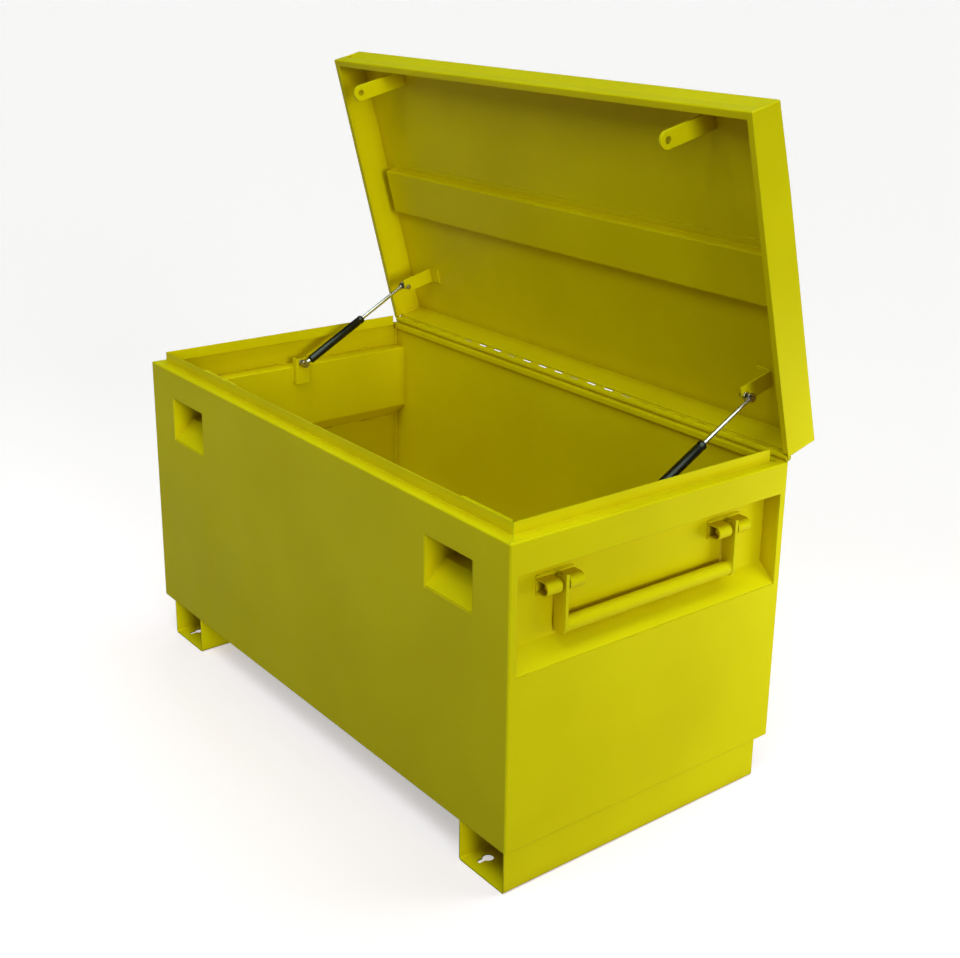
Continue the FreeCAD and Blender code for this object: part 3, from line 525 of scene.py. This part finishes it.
def zinc_plated_steel():
    """Bright zinc plate on turned and pressed steel: grey-white with cloudy patches and turning
    marks."""
    material, tree, shader, place = blank("zinc_plated_steel")
    spangle = noise(tree, place, size_mm=4.0, detail=4.0, roughness=0.6)
    cloud = remap(tree, spangle, 0.35, 0.65, 0.0, 1.0)
    colour = mix(tree, cloud, linear("#D2CAD2"), linear("#B8B0BA"))
    tree.links.new(colour, shader.inputs["Base Color"])
    shader.inputs["Metallic"].default_value = 1.0
    tree.links.new(remap(tree, cloud, 0.0, 1.0, 0.22, 0.38), shader.inputs["Roughness"])
    # Tool marks are really about 0.1 mm apart, drawn at 0.8 mm to show
    marks = bump(tree, noise(tree, place, size_mm=0.8, detail=2.0), depth_mm=0.02, strength=0.5)
    tree.links.new(marks, shader.inputs["Normal"])
    return material


FINISHES = {"yellow_enamel": yellow_enamel(), "black_enamel": black_enamel(),
            "polished_rod": polished_rod(), "zinc_plated_steel": zinc_plated_steel()}


def dress_nodes():
    """Every carried-over solid gets the finish of its material slot."""
    for part in frame["nodes"].values():
        for slot in part.material_slots:
            slot.material = FINISHES[slot.material.name.split(".")[0]]


def barrel_angle(y, radius):
    """Angle in degrees at which a circle round the pin passes Y under the pin's height."""
    return 180 + math.degrees(math.acos((HINGE_Y - y) / radius))


def knuckle_outline(flip):
    """Rolled knuckle in YZ: the sheet comes up the leaf, goes round the pin and ends just short
    of the leaf, so a seam is left. flip turns it over for the lid's leaf."""
    centre = (HINGE_Y, HINGE_Z)
    root = HINGE_Z - (LID_LEAF_SHOULDER if flip else LEAF_SHOULDER) - KNUCKLE_FOOT
    outer = arc(centre, BARREL_R, barrel_angle(HALF_Y, BARREL_R), ROLL_END, 30)
    bore = arc(centre, BARREL_BORE_R, BORE_END, barrel_angle(LEAF_FACE_Y, BARREL_BORE_R), 20)
    outline = np.concatenate([[(HALF_Y + KNUCKLE_INSET, root)], outer, bore,
                              [(LEAF_FACE_Y - KNUCKLE_INSET, root)]])
    if flip:
        outline[:, 1] = 2 * HINGE_Z - outline[:, 1]
    return outline


def slot_edge(number):
    """How near the pin's axis the lid's leaf comes at a notch. The leaf bows, so that its slots
    gape only along the middle, and weld runs half fill a few of them."""
    if number < SLOT_FIRST or number > SLOT_LAST:
        return BARREL_R + SHUT_SLOT
    return BARREL_R + NARROW_SLOT if number in NARROW_SLOTS else LID_LEAF_SHOULDER


def leaf_strip(low, high, start, end):
    """Length of leaf plate with its outer corners eased, between two heights."""
    inner = LEAF_FACE_Y - LEAF_EASE
    outline = [(HALF_Y, low), (HALF_Y, high), (inner, high), (LEAF_FACE_Y, high - LEAF_EASE),
               (LEAF_FACE_Y, low + LEAF_EASE), (inner, low)]
    return spread(outline, [start, end])


def hugging_edge():
    """Top of the box's leaf in YZ, coined to the barrel's own curve so that no light gets under
    the lid's knuckles."""
    radius = BARREL_R + HUG_GAP
    near, far = HALF_Y + HUG_INSET, LEAF_FACE_Y - HUG_INSET
    low = HINGE_Z - LEAF_SHOULDER - HUG_DEPTH
    curve = arc((HINGE_Y, HINGE_Z), radius, barrel_angle(near, radius),
                barrel_angle(far, radius), 7)
    return np.concatenate([[(near, low)], curve, [(far, low)]])


def hinge_leaf(first, flip):
    """One hinge leaf: a plate with every second rolled knuckle."""
    pitch = HINGE_LENGTH / KNUCKLES
    starts = -HINGE_END + pitch * np.arange(KNUCKLES)
    sign = 1 if flip else -1
    shoulder = LID_LEAF_SHOULDER if flip else LEAF_SHOULDER
    low, high = sorted((HINGE_Z + sign * LEAF_WIDTH, HINGE_Z + sign * shoulder))
    shells = [leaf_strip(low, high, -HINGE_END, HINGE_END)]
    outline = knuckle_outline(flip)
    for start in starts[first::2]:
        shells.append(spread(outline, [start + KNUCKLE_GAP / 2, start + pitch - KNUCKLE_GAP / 2]))
    if not flip:
        shells.append(spread(hugging_edge(), [-HINGE_END, HINGE_END]))
    for number in range(0, KNUCKLES, 2):
        if flip and slot_edge(number) < shoulder:
            shells.append(leaf_strip(HINGE_Z + slot_edge(number), HINGE_Z + shoulder + SLOT_OVERLAP,
                                     starts[number], starts[number] + pitch))
    return shells


def spot_welds(z):
    """Shallow round electrode marks in a row along a hinge leaf, at one height."""
    mark = [(-0.3, 3.6), (0.12, 3.4), (0.25, 2.8), (0.12, 2.2), (0.08, 0.4)]
    last = HINGE_END - SPOT_FROM_END
    return [lathe(mark, np.array((x, LEAF_FACE_Y, z)), (0, 1, 0), 20)
            for x in np.linspace(-last, last, SPOT_COUNT)]


def make_hinge():
    """Both leaves, their spot welds and the peened ends of the pin."""
    piece("hinge_leaf_on_box", hinge_leaf(0, False), "yellow_enamel", "box",
          ("body_hinge_leaf",))
    piece("hinge_leaf_on_lid", opened(hinge_leaf(1, True)), "yellow_enamel", "lid",
          ("lid_hinge_leaf",))
    row = LEAF_WIDTH - SPOT_FROM_EDGE
    piece("box_leaf_spot_welds", spot_welds(HINGE_Z - row), "yellow_enamel", "box")
    piece("lid_leaf_spot_welds", opened(spot_welds(HINGE_Z + row)), "yellow_enamel", "lid")
    head = [(-0.9, 2.6), (-0.8, 3.8), (-0.4, 4.1), (-0.1, 3.4), (0.0, 2.0)]
    foot = np.array((HINGE_END + PIN_OVERHANG, HINGE_Y, HINGE_Z))
    right = [lathe(head, foot, (1, 0, 0), 28)]
    piece("hinge_pin_heads", right + mirrored(right), "yellow_enamel", "box")


def make_spring(side, word):
    """Gas spring: crimped tube, chrome rod, wire clips and the hexagons of the ball studs. The
    turned profiles are (distance from the lower ball, radius) pairs."""
    low = np.array(joints[word + "_spring_pivot"]["pos_m"]) / MM
    way = unit(joints[word + "_spring_slide"]["axis"])
    cylinder, rod_end = word + "_spring_cylinder", word + "_spring_rod_end"
    tube = [(TUBE_START + 4, 0.3), (TUBE_START + 4, TUBE_BORE_R), (TUBE_END - 6, TUBE_BORE_R),
            (TUBE_END - 6, ROD_R + 0.15), (TUBE_END, ROD_R + 0.15), (TUBE_END, 5.2),
            (TUBE_END - 0.5, 6.6), (TUBE_END - 1.8, 8.1), (TUBE_END - 3.4, 8.9),
            (TUBE_END - 5, TUBE_R), (TUBE_END - 9, TUBE_R), (TUBE_END - 10, 8.5),
            (TUBE_END - 11.2, 8.25), (TUBE_END - 12.4, 8.5), (TUBE_END - 13.4, TUBE_R),
            (TUBE_START + 5, TUBE_R), (TUBE_START + 2.6, 8.6), (TUBE_START + 1, 7.4),
            (TUBE_START + 0.2, 5.8), (TUBE_START, 4.0), (TUBE_START, 0.3)]
    piece(word + "_crimped_tube", [lathe(tube, low, way)], "black_enamel", cylinder,
          (word + "_spring_tube", word + "_spring_gland"))
    end = SPRING_LENGTH - NECK
    rod = [(ROD_TAIL, 0.3), (ROD_TAIL, 7.0), (ROD_TAIL + 0.6, 7.6), (ROD_TAIL + 3.5, 7.6),
           (ROD_TAIL + 3.8, 6.9), (ROD_TAIL + 6.2, 6.9), (ROD_TAIL + 6.5, 7.6),
           (ROD_TAIL + 9.4, 7.6), (ROD_TAIL + 10, 7.0), (ROD_TAIL + 10, ROD_R),
           (end - 4.6, ROD_R), (end - 4.2, 3.4), (end - 1, 3.4), (end - 0.6, ROD_R),
           (end, ROD_R), (end, 0.3)]
    piece(word + "_chrome_rod", [lathe(rod, low, way)], "polished_rod", rod_end,
          (word + "_spring_rod",))
    high = low + way * SPRING_LENGTH
    hexagon = [(0.0, 0.3), (0.0, 6.9), (0.5, 7.5), (FLANGE - 0.6, 7.5), (FLANGE, 6.9),
               (FLANGE, 0.3)]
    low_foot = np.array((side * (STUD_FACE_LOW - FLANGE), low[1], low[2]))
    high_foot = np.array((side * STUD_FACE_HIGH, high[1], high[2]))
    piece(word + "_lower_stud_hexagon", [lathe(hexagon, low_foot, (side, 0, 0), 6)],
          "zinc_plated_steel", "box")
    piece(word + "_upper_stud_hexagon", [lathe(hexagon, high_foot, (side, 0, 0), 6)],
          "zinc_plated_steel", rod_end)
    piece(word + "_lower_socket_clip", [clip(low, way)], "zinc_plated_steel", cylinder)
    piece(word + "_upper_socket_clip", [clip(high, -way)], "zinc_plated_steel", rod_end)


def clip(centre, way):
    """Wire clip round a ball socket: at angle t round the wire and p round the socket the skin
    stands at radial(p) * (ring + wire cos(t)) + X * wire sin(t), with a gap on the spring's
    side."""
    side = np.cross((1.0, 0.0, 0.0), way)
    p = np.radians(np.linspace(CLIP_OPENING, 360 - CLIP_OPENING, 44))[:, None, None]
    t = np.linspace(0, 2 * math.pi, 8, endpoint=False)[None, :, None]
    radial = way * np.cos(p) + side * np.sin(p)
    along = np.array((1.0, 0.0, 0.0)) * CLIP_WIRE_R * np.sin(t)
    return skin(centre + radial * (CLIP_R + CLIP_WIRE_R * np.cos(t)) + along)


def make_handle(side, word):
    """Grip tube and the beads that join it to its arms. The tube is its wall's rectangle of
    (distance, radius) corners carried round the grip's axis."""
    foot = np.array((side * GRIP_X, -GRIP_HALF, GRIP_Z))
    length = 2 * GRIP_HALF
    bore = GRIP_R - GRIP_WALL
    wall = np.array([(0.0, bore), (length, bore), (length, GRIP_R), (0.0, GRIP_R)])
    p = np.linspace(0, 2 * math.pi, 64, endpoint=False)[None, :, None]
    radial = np.array((1.0, 0, 0)) * np.cos(p) + np.array((0, 0, 1.0)) * np.sin(p)
    along = np.array((0, 1.0, 0)) * wall[:, 0, None, None]
    sections = foot + along + radial * wall[:, 1, None, None]
    body = word + "_handle"
    piece(word + "_grip_tube", [skin(sections, wrap=True)], "yellow_enamel", body,
          (word + "_handle_grip",))
    beads = [ring_bead(foot, np.array((0.0, 1.0, 0.0)), GRIP_R, GRIP_LEG),
             ring_bead(foot + (0, length, 0), np.array((0.0, -1.0, 0.0)), GRIP_R, GRIP_LEG)]
    piece(word + "_grip_welds", beads, "yellow_enamel", body)


def saddle_welds():
    """Beads along the long edges of both right saddle base plates."""
    half = SADDLE_REACH - SADDLE_BEAD_SHORT
    shells = []
    for y in (-SADDLE_Y, SADDLE_Y):
        for up in (-1, 1):
            z = SADDLE_Z + up * SADDLE_HALF
            shells.append(bead((PAN_BACK_X, y - half, z), (PAN_BACK_X, y + half, z), (0, 0, up),
                               (1, 0, 0), SADDLE_LEGS))
    return shells


def end_welds():
    """Stitches that hold the right handle pan and spring bracket, seen from inside the box."""
    shells = []
    for z, up in ((PAN_TOP_Z + GAUGE, 1), (PAN_LOW_Z - PAN_STITCH_DROP, -1)):
        shells += stitches((WALL_X, -PAN_STITCH_HALF, z), (WALL_X, PAN_STITCH_HALF, z), PAN_PITCH,
                           (0, 0, up), (-1, 0, 0))
    back = PAN_BACK_X - GAUGE
    for y, away in zip(BRACKET_Y, (-1, 1)):
        shells.append(bead((back, y, BRACKET_Z[0]), (back, y, BRACKET_Z[1]), (0, away, 0),
                           (-1, 0, 0), BRACKET_LEGS))
    return shells


def corner_welds():
    """Upright seams in the four inner corners, and dressed beads over the shoulder mitres."""
    low, high = FLOOR_Z + SEAM_ABOVE_FLOOR, SHOULDER_Z - SEAM_BELOW_SHOULDER
    mitre_z = SHOULDER_Z - MITRE_SUNK
    shells = []
    for x in (-1, 1):
        for y in (-1, 1):
            shells.append(bead((x * WALL_X, y * WALL_Y, low), (x * WALL_X, y * WALL_Y, high),
                               (-x, 0, 0), (0, -y, 0), CORNER_LEGS))
        corner = (x * (HALF_X - MITRE_INSET), -HALF_Y + MITRE_INSET, mitre_z)
        root = (x * (HALF_X - LIP_INSET), -HALF_Y + LIP_INSET, mitre_z)
        shells.append(bead(corner, root, (x, 1, 0), (0, 0, 1), MITRE_LEGS, turn=180.0))
    return shells


def pocket_welds():
    """Stitches down both cheeks of each lock pocket, inside the box."""
    shells = []
    for middle in (-POCKET_X, POCKET_X):
        for way in (-1, 1):
            x = middle + way * POCKET_OUTER
            shells += stitches((x, -WALL_Y, POCKET_STITCH_Z[0]), (x, -WALL_Y, POCKET_STITCH_Z[1]),
                               POCKET_PITCH, (way, 0, 0), (0, 1, 0))
    return shells


def floor_welds():
    """Stitches on the upturned edge of the floor tray."""
    x, y, z = WALL_X - GAUGE, WALL_Y - GAUGE, FLOOR_Z + FLOOR_FLANGE
    shells = []
    for way in (-1, 1):
        shells += stitches((-FLOOR_STITCH_X, way * y, z), (FLOOR_STITCH_X, way * y, z),
                           FLOOR_PITCH, (0, 0, 1), (0, way, 0), FLOOR_LEGS)
        shells += stitches((way * x, -FLOOR_STITCH_Y, z), (way * x, FLOOR_STITCH_Y, z),
                           FLOOR_PITCH, (0, 0, 1), (way, 0, 0), FLOOR_LEGS)
    return shells


def skid_welds(x_faces):
    """Stitches between the skid's uprights and the underside of the floor."""
    shells = []
    for x, way in x_faces:
        shells += stitches((x, SKID_STITCH_Y[0], FLOOR_Z), (x, SKID_STITCH_Y[1], FLOOR_Z),
                           SKID_PITCH, (way, 0, 0), (0, 0, -1))
    return shells


def stiffener_stitch_welds():
    """Stitches along both feet of the shut lid's stiffener."""
    under = LID_TOP_Z - GAUGE
    shells = []
    for way in (-1, 1):
        y = CHANNEL_Y + way * CHANNEL_REACH
        shells += stitches((-CHANNEL_END, y, under), (CHANNEL_END, y, under), CHANNEL_PITCH,
                           (0, way, 0), (0, 0, -1), CHANNEL_LEGS)
    return shells


def latch_foot_welds():
    """Beads on both sides of each latch bar's foot, on the shut lid's falling front panel."""
    slope = LID_FALL / LID_SLOPE_RUN
    shells = []
    for middle in (LATCH_X, -LATCH_X):
        face = middle - LATCH_THICK / 2
        for way in (-1, 1):
            y = LATCH_Y + way * LATCH_HALF
            z = LID_FRONT_TOP_Z - GAUGE + slope * (y + HALF_Y)
            shells.append(bead((face - LATCH_FOOT + LATCH_BEAD_SHORT, y, z),
                               (face - LATCH_BEAD_SHORT, y, z), (0, way, 0), (0, 0, -1)))
    return shells


def lid_bracket_welds():
    """Beads on both sides of the foot of each of the lid's spring brackets, on the shut lid."""
    under = LID_TOP_Z - GAUGE
    shells = []
    for side in (1, -1):
        for y, way in zip(LID_FOOT_Y, (-1, 1)):
            shells.append(bead((side * LID_FOOT_X[0], y, under), (side * LID_FOOT_X[1], y, under),
                               (0, way, 0), (0, 0, -1), LID_FOOT_LEGS))
    return shells


def lid_corner_welds():
    """Seams inside the four corners of the shut lid, from above its rim to under its panel."""
    front = (-1, LID_RIM_Z + LID_SEAM_FRONT, LID_FRONT_TOP_Z)
    back = (1, LID_RIM_Z + LID_SEAM_BACK, LID_TOP_Z)
    shells = []
    for x in (1, -1):
        for y, low, panel in (front, back):
            high = panel - GAUGE - LID_SEAM_SHORT
            shells.append(bead((x * WALL_X, y * WALL_Y, low), (x * WALL_X, y * WALL_Y, high),
                               (-x, 0, 0), (0, -y, 0)))
    return shells


def make_welds():
    """All the beads on the box, then those on the lid."""
    right_skid = ((RIGHT_SKID_IN_X, -1),)
    left_skid = ((LEFT_SKID_OUT_X, -1), (LEFT_SKID_OUT_X + SKID_WIDTH, 1))
    on_box = {"box_corner_welds": corner_welds(), "lock_pocket_welds": pocket_welds(),
              "floor_stitch_welds": floor_welds(), "right_saddle_welds": saddle_welds(),
              "left_saddle_welds": mirrored(saddle_welds()), "right_end_welds": end_welds(),
              "left_end_welds": mirrored(end_welds()), "right_skid_welds": skid_welds(right_skid),
              "left_skid_welds": skid_welds(left_skid)}
    for name, shells in on_box.items():
        piece(name, shells, "yellow_enamel", "box")
    on_lid = {"stiffener_stitch_welds": stiffener_stitch_welds(),
              "latch_foot_welds": latch_foot_welds(), "lid_bracket_welds": lid_bracket_welds(),
              "lid_corner_welds": lid_corner_welds()}
    for name, shells in on_lid.items():
        piece(name, opened(shells), "yellow_enamel", "lid")


def make_camera():
    """Camera at the measured place, looking along the measured axes."""
    data = bpy.data.cameras.new("camera")
    data.lens = CAMERA_LENS
    data.sensor_width = CAMERA_SENSOR
    data.shift_x, data.shift_y = CAMERA_SHIFT
    data.clip_start, data.clip_end = CAMERA_CLIP
    camera = bpy.data.objects.new("camera", data)
    matrix = np.eye(4)
    matrix[:3, :3] = np.array([CAMERA_RIGHT, CAMERA_UP, CAMERA_BACK]).T
    matrix[:3, 3] = CAMERA_PLACE
    camera.matrix_world = Matrix(matrix)
    bpy.context.scene.collection.objects.link(camera)
    bpy.context.scene.camera = camera


def place_light(name, kind, place, back, power, gives, colour):
    """Light at a place that shines against its back direction. It gives "all", or only "shade",
    or only the "glint" in gloss and metal."""
    data = bpy.data.lights.new(name, kind)
    data.energy = power
    data.color = linear(colour)[:3]
    light = bpy.data.objects.new(name, data)
    back = unit(back)
    right = unit(np.cross((0, 1, 0), back))
    matrix = np.eye(4)
    matrix[:3, :3] = np.stack([right, np.cross(back, right), back], -1)
    matrix[:3, 3] = place
    light.matrix_world = Matrix(matrix)
    light.visible_camera = False
    light.visible_glossy = gives != "shade"
    light.visible_diffuse = gives != "glint"
    bpy.context.scene.collection.objects.link(light)
    return data


def sun_light(name, back, spread_degrees, power, gives, colour=DAY_COLOUR):
    """Distant soft light."""
    data = place_light(name, "SUN", (0, 0, 0), back, power, gives, colour)
    data.angle = math.radians(spread_degrees)


def area_light(name, place, target, size, power, gives):
    """Soft square light that faces its target."""
    back = np.subtract(place, target)
    data = place_light(name, "AREA", place, back, power, gives, DAY_COLOUR)
    data.size = size


def make_floor():
    """Very large pale floor. It looks pale but throws back less light than it shows, as a workshop
    floor does, so the upright sides of the box aren't lit from below."""
    material, tree, shader, _ = blank("pale_floor")
    shader.inputs["Roughness"].default_value = 0.9
    shader.inputs["Specular IOR Level"].default_value = 0.0
    seen = add(tree, "ShaderNodeLightPath", {}, {}).outputs["Is Camera Ray"]
    tree.links.new(mix(tree, seen, linear("#8C7B8C"), linear("#F1D5F1")),
                   shader.inputs["Base Color"])
    shader.inputs["Emission Color"].default_value = linear("#F4F4F2")
    tree.links.new(product(tree, seen, 0.50), shader.inputs["Emission Strength"])
    mesh = bpy.data.meshes.new("floor")
    corners = [(x * FLOOR_REACH, y * FLOOR_REACH, 0) for x, y in ((-1, -1), (1, -1), (1, 1), (-1, 1))]
    mesh.from_pydata(corners, [], [(0, 1, 2, 3)])
    mesh.materials.append(material)
    floor = bpy.data.objects.new("floor", mesh)
    bpy.context.scene.collection.objects.link(floor)


def make_world():
    """Pale backdrop that gives hardly any light itself."""
    world = bpy.data.worlds.new("studio")
    world.use_nodes = True
    tree = world.node_tree
    backdrop = tree.nodes["Background"]
    backdrop.inputs["Color"].default_value = linear("#FAFAF9")
    seen = add(tree, "ShaderNodeLightPath", {}, {}).outputs["Is Camera Ray"]
    tree.links.new(remap(tree, seen, 0.0, 1.0, 0.01, 1.0), backdrop.inputs["Strength"])
    bpy.context.scene.world = world


def make_lights():
    """Soft daylight from a low opening on the right, light from above, and weak fills without
    highlights. Workshop tubes are a little green, and so are these."""
    bpy.context.scene.view_settings.view_transform = "Standard"
    sun_light("low_right", (1.0, -0.2, 0.13), spread_degrees=18, power=1.38, gives="shade")
    sun_light("high_back", (0.1, 0.4, 1.0), spread_degrees=30, power=0.85, gives="all",
              colour=TUBE_COLOUR)
    sun_light("high_front", (0.15, -0.3, 1.0), spread_degrees=26, power=0.88, gives="all",
              colour=TUBE_COLOUR)
    sun_light("high_right", (0.72, -0.46, 0.5), spread_degrees=40, power=0.28, gives="all")
    sun_light("rod_glint", (0.7, -0.1, 0.65), spread_degrees=64, power=2.2, gives="glint")
    sun_light("left_fill", (-0.7, 0.55, 0.40), spread_degrees=40, power=0.70, gives="shade")
    area_light("right_rear", (1.25, 0.9, 0.4), (0.6, 0.3, 0.3), size=0.6, power=5.6,
               gives="shade")
    area_light("front_soft_box", (0.5, -1.4, 2.4), (0.2, 0.1, 0.4), size=1.0, power=14.5,
               gives="shade")
    area_light("left_front", (-1.2, -1.3, 0.9), (-0.5, -0.31, 0.4), size=0.8, power=1.8,
               gives="shade")


dress_nodes()
make_hinge()
for side, word in ((1, "right"), (-1, "left")):
    make_spring(side, word)
    make_handle(side, word)
make_welds()
make_camera()
make_floor()
make_world()
make_lights()
